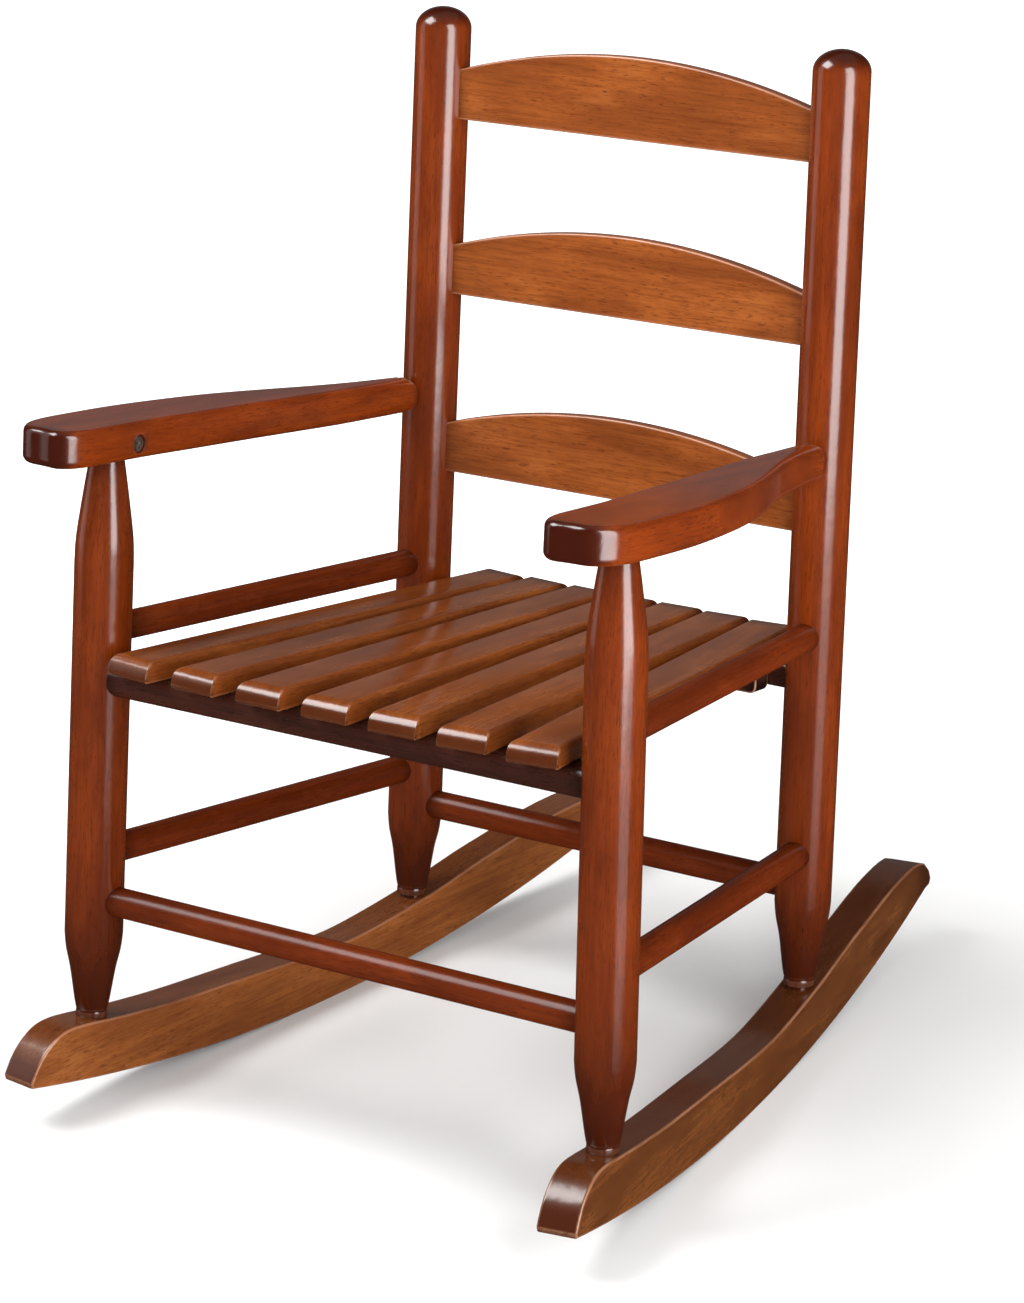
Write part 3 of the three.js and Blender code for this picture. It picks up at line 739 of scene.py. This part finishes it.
class CHAIR_OT_rails(bpy.types.Operator):
    """Shape the oval rails under the seat and the battens the slats are screwed to"""

    bl_idname = "chair.rails"
    bl_label = "Seat rails"

    def execute(self, context):
        sizes = context.scene.chair_sizes
        thick = mm(sizes.slat_thickness)
        rows = (
            ("front", 0.0, front_post(1, SEAT_TOP - 20).x - mm(sizes.front_post) + SOCKET_DEPTH),
            ("rear", SEAT_DEPTH, rear_post(1, SEAT_TOP - 20).x - mm(sizes.rear_post) + SOCKET_DEPTH),
        )
        for k, (name, y, half) in enumerate(rows):
            top = seat_top(y) - thick - FIT
            outline = rounded(-RAIL_DEEP / 2, top - RAIL_TALL, RAIL_DEEP / 2, top, (8, 8, 6, 6))
            place = basis(Vector((-half, y, 0)), Y, Z, X)
            grain = basis(Vector((-half, y, top)), X, Y, Z)
            wooden(
                f"seat_rail_{name}", board(outline, 2 * half, place, 0.8, 2), "rail_wood", grain,
                2 * half, seed=21.3 + k, reach=(20, 20),
            )
        for k, (name, y) in enumerate(batten_rows()):
            half = slat_x(sizes, sizes.slats - 1, y) + mm(sizes.slat_width) / 2 - 0.5
            top = seat_top(y) - thick - FIT
            outline = rounded(-half, top - BATTEN_TALL, half, top, (4, 4, 1, 1), 5)
            origin = Vector((0, y + BATTEN_THICK / 2, 0))
            place = basis(origin, X, Z, Vector((0, -1, 0)))
            grain = basis(Vector((-half, y, top)), X, Y, Z)
            wooden(
                f"seat_batten_{name}", board(outline, BATTEN_THICK, place, 0.7, 3), "rail_wood", grain,
                2 * half, seed=24.3 + k, reach=(10, 10),
            )
        return {"FINISHED"}


# ---- seat slats ------------------------------------------


def slat_blank(wide, thick, long, nose):
    """One seat slat from its rounded nose back along y, its top at z = 0."""
    edge, foot, front_low, rear_top = 4.0, 1.2, 2.6, 3.2
    turns = 7
    side = []
    for k in range(turns + 1):
        a = pi / 2 * k / turns
        side.append((wide / 2 - edge * (1 - sin(a)), edge * (1 - cos(a))))
    side.append((wide / 2, thick - foot - 0.8))
    for k in range(4):
        a = pi / 2 * k / 3
        side.append((wide / 2 - foot * (1 - cos(a)), thick - foot * (1 - sin(a))))
    section = [(-x, d) for x, d in reversed(side)] + side
    drops = [d for _, d in side if d <= edge + 1e-6]
    stations = []
    for d in drops:
        stations.append((nose * (1 - sin(acos(1 - d / nose))), d))
    first = acos(1 - edge / nose)
    for k in range(1, 8):
        a = first + (pi / 2 - first) * k / 7
        stations.append((nose * (1 - sin(a)), nose * (1 - cos(a))))
    stations = sorted(stations)
    stations += [(long * k / 14, 0.0) for k in range(1, 14)]
    rear = [d for d in drops if d <= rear_top] + [rear_top]
    for d in rear:
        stations.append((long - rear_top + rear_top * sin(acos(1 - d / rear_top)), d))
    rings = []
    for y, drop in stations:
        rise = 0.0
        if y < front_low:
            rise = front_low - sqrt(max(0.0, front_low**2 - (front_low - y) ** 2))
        low = thick - min(rise, thick - drop - 0.05)
        rings.append([Vector((x, y, -min(max(d, drop), low))) for x, d in section])
    return loft(rings, "slat_blank")


def new_tree(name, given, made, sockets):
    """A tree from one geometry to another: the tree, its nodes, inputs and input identifiers."""
    tree = bpy.data.node_groups.new(name, "GeometryNodeTree")
    keys = {}
    for label, kind, default in ((given, "Geometry", None), *sockets, ("Finish", "Material", None)):
        socket = tree.interface.new_socket(
            name=label, in_out="INPUT", socket_type=f"NodeSocket{kind}"
        )
        if default is not None:
            socket.default_value = default
        keys[label] = socket.identifier
    tree.interface.new_socket(name=made, in_out="OUTPUT", socket_type="NodeSocketGeometry")
    n = Nodes(tree)
    return tree, n, n.add("NodeGroupInput").outputs, keys


def end_tree(n, given, copies):
    """Makes the copies one mesh in the given finish."""
    real = n.add("GeometryNodeRealizeInstances", i0=copies).outputs[0]
    done = n.add("GeometryNodeSetMaterial", Geometry=real, Material=given["Finish"]).outputs[0]
    n.add("NodeGroupOutput", i0=done)


def run_tree(mesh, tree, keys, values):
    """The mesh that the tree makes from this one, as plain geometry."""
    thing = bpy.data.objects.new("seed", mesh)
    bpy.context.scene.collection.objects.link(thing)
    step = thing.modifiers.new("tree", "NODES")
    step.node_group = tree
    for label, value in values.items():
        step[keys[label]] = value
    graph = bpy.context.evaluated_depsgraph_get()
    out = bpy.data.meshes.new_from_object(
        thing.evaluated_get(graph), preserve_all_data_layers=True, depsgraph=graph
    )
    bpy.data.objects.remove(thing)
    if not out.polygons:
        raise RuntimeError(f"{tree.name} made no faces")
    return out


SLAT_SEED, SEED_STEP = 31.0, 1.37


def fan_tree():
    """Lays copies of one slat side by side, spread at the front and closer together at the rear."""
    tree, n, given, keys = new_tree("Fan of slats", "Slat", "Slats", (
        ("Count", "Int", 7), ("Front spacing", "Float", 45.0), ("Rear spacing", "Float", 31.0),
        ("Length", "Float", 300.0), ("First seed", "Float", SLAT_SEED),
    ))
    index = n.add("GeometryNodeInputIndex").outputs[0]
    middle = n.math("DIVIDE", n.math("SUBTRACT", given["Count"], 1.0), 2.0)
    row = n.math("SUBTRACT", index, middle)
    start = n.add("ShaderNodeCombineXYZ", i0=n.math("MULTIPLY", row, given["Front spacing"])).outputs[0]
    spread = n.math("MULTIPLY", row, n.math("SUBTRACT", given["Front spacing"], given["Rear spacing"]))
    turn = n.math("ARCTAN2", spread, given["Length"])
    slope = n.math("DIVIDE", spread, given["Length"])
    stretch = n.math("SQRT", n.math("ADD", n.math("MULTIPLY", slope, slope), 1.0))
    points = n.add("GeometryNodePoints", Count=given["Count"], Position=start).outputs[0]
    sized = n.add("ShaderNodeCombineXYZ", i0=1.0, i1=stretch, i2=1.0).outputs[0]
    turned_by = n.add("ShaderNodeCombineXYZ", i2=turn).outputs[0]
    laid = n.add("GeometryNodeInstanceOnPoints", Points=points, Instance=given["Slat"])
    n.set(laid, "Rotation", turned_by)
    n.set(laid, "Scale", sized)
    settings = {"operation": "MULTIPLY_ADD"}
    seed = n.add("ShaderNodeMath", settings, i0=index, i1=SEED_STEP, i2=given["First seed"]).outputs[0]
    store = n.add("GeometryNodeStoreNamedAttribute", {"data_type": "FLOAT", "domain": "INSTANCE"})
    n.set(store, "Geometry", laid.outputs[0])
    n.set(store, "Name", "seed")
    n.set(store, "Value", seed)
    end_tree(n, given, store.outputs[0])
    return tree, keys


class CHAIR_OT_seat(bpy.types.Operator):
    """Lay the fan of seat slats"""

    bl_idname = "chair.seat"
    bl_label = "Seat slats"

    def execute(self, context):
        sizes = context.scene.chair_sizes
        long = (SLAT_REAR - SLAT_FRONT) * sqrt(1 + SEAT_RISE**2)
        blank = slat_blank(
            mm(sizes.slat_width), mm(sizes.slat_thickness), long, mm(sizes.slat_nose)
        )
        blank = worked(blank, 0.4)
        grain = basis(Vector(), Y, -X, Z)
        stamp(blank, grain, long, seed=0.0, reach=(4, 12), stain=0.84, wear_and_highlight=0.35, thirst=0.0)
        blank.attributes.remove(blank.attributes["seed"])
        tree, keys = fan_tree()
        material = finish("slat_wood")
        count = sizes.slats
        values = {
            "Count": count,
            "Front spacing": slat_x(sizes, 1, SLAT_FRONT) - slat_x(sizes, 0, SLAT_FRONT),
            "Rear spacing": slat_x(sizes, 1, SLAT_REAR) - slat_x(sizes, 0, SLAT_REAR),
            "Length": long,
            "First seed": SLAT_SEED,
            "Finish": material,
        }
        mesh = run_tree(blank, tree, keys, values)
        along = Vector((0, 1, SEAT_RISE)).normalized()
        across = X
        seat = basis(Vector((0, SLAT_FRONT, seat_top(SLAT_FRONT))), across, along, across.cross(along))
        nodes = [f"seat_slat_{k + 1}" for k in range(count)]
        place_piece("seat_slats_wood", mesh, material, nodes, ROOM @ seat)
        return {"FINISHED"}


# ---- back slats ------------------------------------------


BACK_SLATS = (("bottom", 0.193), ("middle", 0.507), ("top", 0.8106))


class CHAIR_OT_back(bpy.types.Operator):
    """Cut the three arched back slats"""

    bl_idname = "chair.back"
    bl_label = "Back slats"

    def execute(self, context):
        sizes = context.scene.chair_sizes
        thick = mm(sizes.back_slat)
        tall, arch, tenon = 29.0, 18.0, 9.0
        for k, (name, share) in enumerate(BACK_SLATS):
            z = SEAT_TOP + share * (REAR_TOP - SEAT_TOP)
            half = rear_post(1, z).x - mm(sizes.rear_post) + tenon
            shoulder = rear_post(1, z).x - 0.9 * mm(sizes.rear_post)
            outline = [(half * t / 6 - half, z) for t in range(13)] + [(half, z + tall)]
            for t in range(49):
                x = shoulder * (1 - t / 24)
                outline.append((x, z + tall + arch * (1 - (x / shoulder) ** 2)))
            outline.append((-half, z + tall))
            origin = Vector((0, SEAT_DEPTH + thick / 2, 0))
            place = basis(origin, X, Z, Vector((0, -1, 0)))
            start = Vector((-half, SEAT_DEPTH, z))
            grain = basis(start, X, Y, Z)
            wooden(
                f"back_slat_{name}", board(outline, thick, place, 1.1, 3), "slat_wood", grain,
                2 * half, seed=43.7 + 2.9 * k, reach=(14, 14),
            )
        return {"FINISHED"}


# ---- arms ------------------------------------------------

ARM_FRONT, ARM_LONG = -53.4, 306.0
ARM_OUTER = (
    *((172, ARM_FRONT), (184, ARM_FRONT + 1.6), (193, ARM_FRONT + 11), (196.8, -28), (197.4, 0)),
    *((196.2, 33), (192, 67), (186, 99), (177.8, 127), (168, 155), (161.8, 172.4), (157, 189.5)),
    *((153.6, 205.5), (151.2, 222), (149, 242)),
)
ARM_INNER = (
    *((131, 242), (132.6, 222), (134.2, 205), (137, 165.5), (140.2, 130), (143.4, 92.3), (146.4, 50)),
    *((149.4, 12.3), (150, -16.3), (150.6, -36), (154, -48), (161, -54.4), (172, ARM_FRONT)),
)
ARM_SCREW = {"head": 4.6, "shank": 2.0, "long": 24.0, "sunk": 1.2}
SLAT_SCREW = {"head": 3.6, "shank": 1.6, "long": 24.0, "sunk": 0.0}
ARM_SCREW_IN, ARM_SCREW_BACK = 24.75, 4.5


def arm_screw_start(side, thick):
    """Middle of the screw's head on the inner edge of the arm, behind the front post."""
    return Vector((side * (FRONT_HALF - ARM_SCREW_IN), ARM_SCREW_BACK, arm_top(0) - thick / 2 - 2))


class CHAIR_OT_arms(bpy.types.Operator):
    """Shape the two flat arms"""

    bl_idname = "chair.arms"
    bl_label = "Arms"

    def execute(self, context):
        thick = mm(context.scene.chair_sizes.arm)
        across, back = X, Vector((0, 1, ARM_SLOPE)).normalized()
        up = across.cross(back)
        origin = Vector((0, 0, ARM_TOP)) - up * thick
        for name, side in SIDES:
            outline = curve(ARM_OUTER, 4) + curve(ARM_INNER, 4)[:-1]
            outline = [Vector((side * p.x, p.y)) for p in outline]
            edges = [4 + 4.2 * min(1.0, max(0.0, (p.y - 170) / 66)) ** 1.5 for p in outline]
            mesh = board(outline, thick, basis(origin, across, back, up), edges, 7)
            start = arm_screw_start(side, thick)
            out = Vector((side, 0, 0))
            pocket = ARM_SCREW["head"] + 0.7
            depth = ARM_SCREW["sunk"] + 2.4
            hole = turned([(0, 0), (pocket, 0), (pocket, 8 + depth), (0, 8 + depth)],
                          start - out * 8, start + out * depth, 32)
            mesh = worked(mesh, 0.0, [hole])
            grain = basis(Vector((side * 172, ARM_FRONT - 2, ARM_TOP)), back, across, up)
            wooden(
                f"arm_{name}", mesh, "frame_wood", grain, ARM_LONG,
                seed=53.1 + 2 * side, reach=(14, 10), stain=1.02, wear_and_highlight=0.4,
            )
        return {"FINISHED"}


# ---- screws ----------------------------------------------


def screw_tree():
    """Puts a countersunk, cross-slotted screw at every point, driven along the point's aim."""
    tree, n, given, keys = new_tree("Driven screws", "Points", "Screws", (
        ("Head radius", "Float", 4.0), ("Shank radius", "Float", 2.0), ("Length", "Float", 24.0),
    ))
    head, shank, long = given["Head radius"], given["Shank radius"], given["Length"]

    def moved(geometry, z):
        lift = n.add("ShaderNodeCombineXYZ", i2=z).outputs[0]
        return n.add("GeometryNodeTransform", Geometry=geometry, Translation=lift).outputs[0]

    def cone(bottom, top, depth, z):
        node = n.add("GeometryNodeMeshCone", {"fill_type": "NGON"}, Vertices=32)
        n.set(node, "Radius Top", top)
        n.set(node, "Radius Bottom", bottom)
        n.set(node, "Depth", depth)
        return moved(node.outputs[0], z)

    slope = n.math("MULTIPLY", n.math("SUBTRACT", head, shank), 0.8)
    rim = cone(head, head, 0.7, 0.0)
    sink = cone(head, shank, slope, 0.7)
    tip = n.math("MULTIPLY", long, 0.2)
    body_from = n.math("ADD", slope, 0.7)
    body_long = n.math("SUBTRACT", n.math("SUBTRACT", long, tip), body_from)
    body = cone(shank, shank, body_long, body_from)
    point = cone(shank, 0.15, tip, n.math("SUBTRACT", long, tip))
    solid = n.add("GeometryNodeMeshBoolean", {"operation": "UNION"})
    for part in (rim, sink, body, point):
        tree.links.new(part, solid.inputs["Mesh 2"])
    arms = []
    for swap in (False, True):
        wide, thin = n.math("MULTIPLY", head, 1.15), n.math("MULTIPLY", head, 0.27)
        size = n.add("ShaderNodeCombineXYZ", i0=thin if swap else wide, i1=wide if swap else thin, i2=2.6)
        arms.append(n.add("GeometryNodeMeshCube", Size=size.outputs[0]).outputs[0])
    slotted = n.add("GeometryNodeMeshBoolean", {"operation": "DIFFERENCE"})
    tree.links.new(solid.outputs[0], slotted.inputs["Mesh 1"])
    for part in arms:
        tree.links.new(part, slotted.inputs["Mesh 2"])
    aim = n.add("GeometryNodeInputNamedAttribute", {"data_type": "FLOAT_VECTOR"}, Name="aim").outputs[0]
    face = n.add("FunctionNodeAlignRotationToVector", {"axis": "Z"}, Vector=aim).outputs[0]
    laid = n.add("GeometryNodeInstanceOnPoints", Points=given["Points"], Instance=slotted.outputs[0])
    n.set(laid, "Rotation", face)
    end_tree(n, given, laid.outputs[0])
    return tree, keys


class CHAIR_OT_screws(bpy.types.Operator):
    """Drive the arm screws and the screws under the seat"""

    bl_idname = "chair.screws"
    bl_label = "Screws"

    def execute(self, context):
        sizes = context.scene.chair_sizes
        steel = finish("screw_steel")
        tree, keys = screw_tree()
        arms = []
        for name, side in SIDES:
            out = Vector((side, 0, 0))
            arms.append((arm_screw_start(side, mm(sizes.arm)) + out * ARM_SCREW["sunk"], out))
        under = []
        for _, y in batten_rows():
            for i in range(sizes.slats):
                z = seat_top(y) - mm(sizes.slat_thickness) - FIT - BATTEN_TALL + 0.2
                under.append((Vector((slat_x(sizes, i, y), y, z)), Z))
        names = [f"slat_screw_{row}_{i + 1}" for row in ("front", "rear") for i in range(sizes.slats)]
        groups = (
            ("arm_screws_steel", arms, ARM_SCREW, ["arm_screw_left", "arm_screw_right"]),
            ("slat_screws_steel", under, SLAT_SCREW, names),
        )
        for piece, places, spec, nodes in groups:
            points = bpy.data.meshes.new("places")
            points.from_pydata([tuple(p) for p, _ in places], [], [])
            aims = points.attributes.new("aim", "FLOAT_VECTOR", "POINT")
            for k, (_, aim) in enumerate(places):
                aims.data[k].vector = aim
            values = {
                "Head radius": spec["head"],
                "Shank radius": spec["shank"],
                "Length": spec["long"] - spec["sunk"],
                "Finish": steel,
            }
            mesh = run_tree(points, tree, keys, values)
            place_piece(piece, mesh, steel, nodes)
        return {"FINISHED"}


# ---- stage -----------------------------------------------

CAMERA_AT = Vector((1.39597, -1.99631, 1.11496))
CAMERA_AXES = (
    Vector((0.82466959, 0.56458375, -0.03413581)),
    Vector((-0.16405975, 0.2965212, 0.9408292)),
    Vector((0.54129887, -0.77027292, 0.33715748)),
)
AIM = Vector((0.0, 0.0, 0.28))
CAMERA_LENS, CAMERA_SHIFT, FLOOR_HALF = 160.32, (0.0012, -0.0032), 14.0


def softbox(name, at, aim, wide, tall, power, mirrored=True):
    """A soft rectangular light facing its aim; it may be kept out of the reflections."""
    lamp = bpy.data.lights.new(name, "AREA")
    lamp.shape, lamp.size, lamp.size_y, lamp.energy = "RECTANGLE", wide, tall, power
    thing = bpy.data.objects.new(name, lamp)
    bpy.context.scene.collection.objects.link(thing)
    thing.location = at
    thing.rotation_euler = (aim - at).to_track_quat("-Z", "Y").to_euler()
    thing.visible_camera = False
    thing.visible_glossy = mirrored
    return thing


class CHAIR_OT_stage(bpy.types.Operator):
    """Set the camera, the pale floor and the studio lights"""

    bl_idname = "chair.stage"
    bl_label = "Stage"

    def execute(self, context):
        scene = context.scene
        light = scene.chair_light
        lens = bpy.data.cameras.new("camera")
        lens.sensor_fit, lens.sensor_width, lens.lens = "HORIZONTAL", 36.0, CAMERA_LENS
        lens.shift_x, lens.shift_y = CAMERA_SHIFT
        lens.clip_end = 60.0
        camera = bpy.data.objects.new("camera", lens)
        scene.collection.objects.link(camera)
        camera.matrix_world = basis(CAMERA_AT, *CAMERA_AXES)
        scene.camera = camera

        mesh = bpy.data.meshes.new("floor")
        corners = [(-1, -1), (1, -1), (1, 1), (-1, 1)]
        mesh.from_pydata([(FLOOR_HALF * x, FLOOR_HALF * y, 0.0) for x, y in corners], [], [(0, 1, 2, 3)])
        mesh.materials.append(pale_floor("floor_paint", tuple(scene.chair_finish.floor)))
        floor = bpy.data.objects.new("floor", mesh)
        scene.collection.objects.link(floor)
        floor.visible_glossy = False

        softbox("overhead", Vector((-1.15, -0.85, 2.05)), AIM, 1.3, 1.1, light.key)
        for name, z, tall, share in (("strip", 0.87, 1.5, 1.0), ("strip_foot", -0.08, 0.4, 0.045)):
            side = Vector((1.25, -0.42, z))
            strip = softbox(name, side, Vector((0.0, 0.0, z)), 0.75, tall, share * light.strip)
            strip.rotation_euler.x = pi / 2
        softbox("fill", Vector((-1.9, -0.9, 0.8)), AIM, 1.0, 1.6, light.fill)
        softbox("backdrop", Vector((-2.0, 3.0, 0.9)), AIM, 3.0, 2.0, 2.4)
        softbox("front", Vector((0.3, -2.6, 0.8)), AIM, 2.4, 2.0, 22.0, mirrored=False)
        softbox("top", Vector((0.3, 0.5, 2.6)), AIM, 2.6, 2.6, 3.0)

        world = bpy.data.worlds.new("room")
        world.use_nodes = True
        scene.world = world
        n = Nodes(world.node_tree)
        glossy = n.add("ShaderNodeLightPath").outputs["Is Glossy Ray"]
        strength = n.band(glossy, 0.0, 1.0, light.room, 0.06 * light.room)
        n.set(world.node_tree.nodes["Background"], "Color", (1.0, 1.0, 1.0, 1.0))
        n.set(world.node_tree.nodes["Background"], "Strength", strength)
        scene.view_settings.view_transform = "Standard"
        return {"FINISHED"}


# ---- panel and start -------------------------------------

STEPS = (
    CHAIR_OT_rockers,
    CHAIR_OT_posts,
    CHAIR_OT_stretchers,
    CHAIR_OT_rails,
    CHAIR_OT_seat,
    CHAIR_OT_back,
    CHAIR_OT_arms,
    CHAIR_OT_screws,
    CHAIR_OT_stage,
)


class CHAIR_PT_parts(bpy.types.Panel):
    """Lists the steps that build the chair"""

    bl_idname = "CHAIR_PT_parts"
    bl_label = "Rocking chair"
    bl_space_type = "VIEW_3D"
    bl_region_type = "UI"
    bl_category = "Chair"

    def draw(self, context):
        for step in STEPS:
            self.layout.operator(step.bl_idname)


GROUPS = (("chair_sizes", ChairSizes), ("chair_finish", ChairFinish), ("chair_light", ChairLight))


def register():
    for _, group in GROUPS:
        bpy.utils.register_class(group)
    for step in (*STEPS, CHAIR_PT_parts):
        bpy.utils.register_class(step)
    for name, group in GROUPS:
        setattr(bpy.types.Scene, name, PointerProperty(type=group))


def unregister():
    for name, _ in GROUPS:
        delattr(bpy.types.Scene, name)
    for step in (CHAIR_PT_parts, *reversed(STEPS)):
        bpy.utils.unregister_class(step)
    for _, group in reversed(GROUPS):
        bpy.utils.unregister_class(group)


def main():
    register()
    for step in STEPS:
        section, name = step.bl_idname.split(".")
        getattr(getattr(bpy.ops, section), name)()


if __name__ == "__main__":
    main()
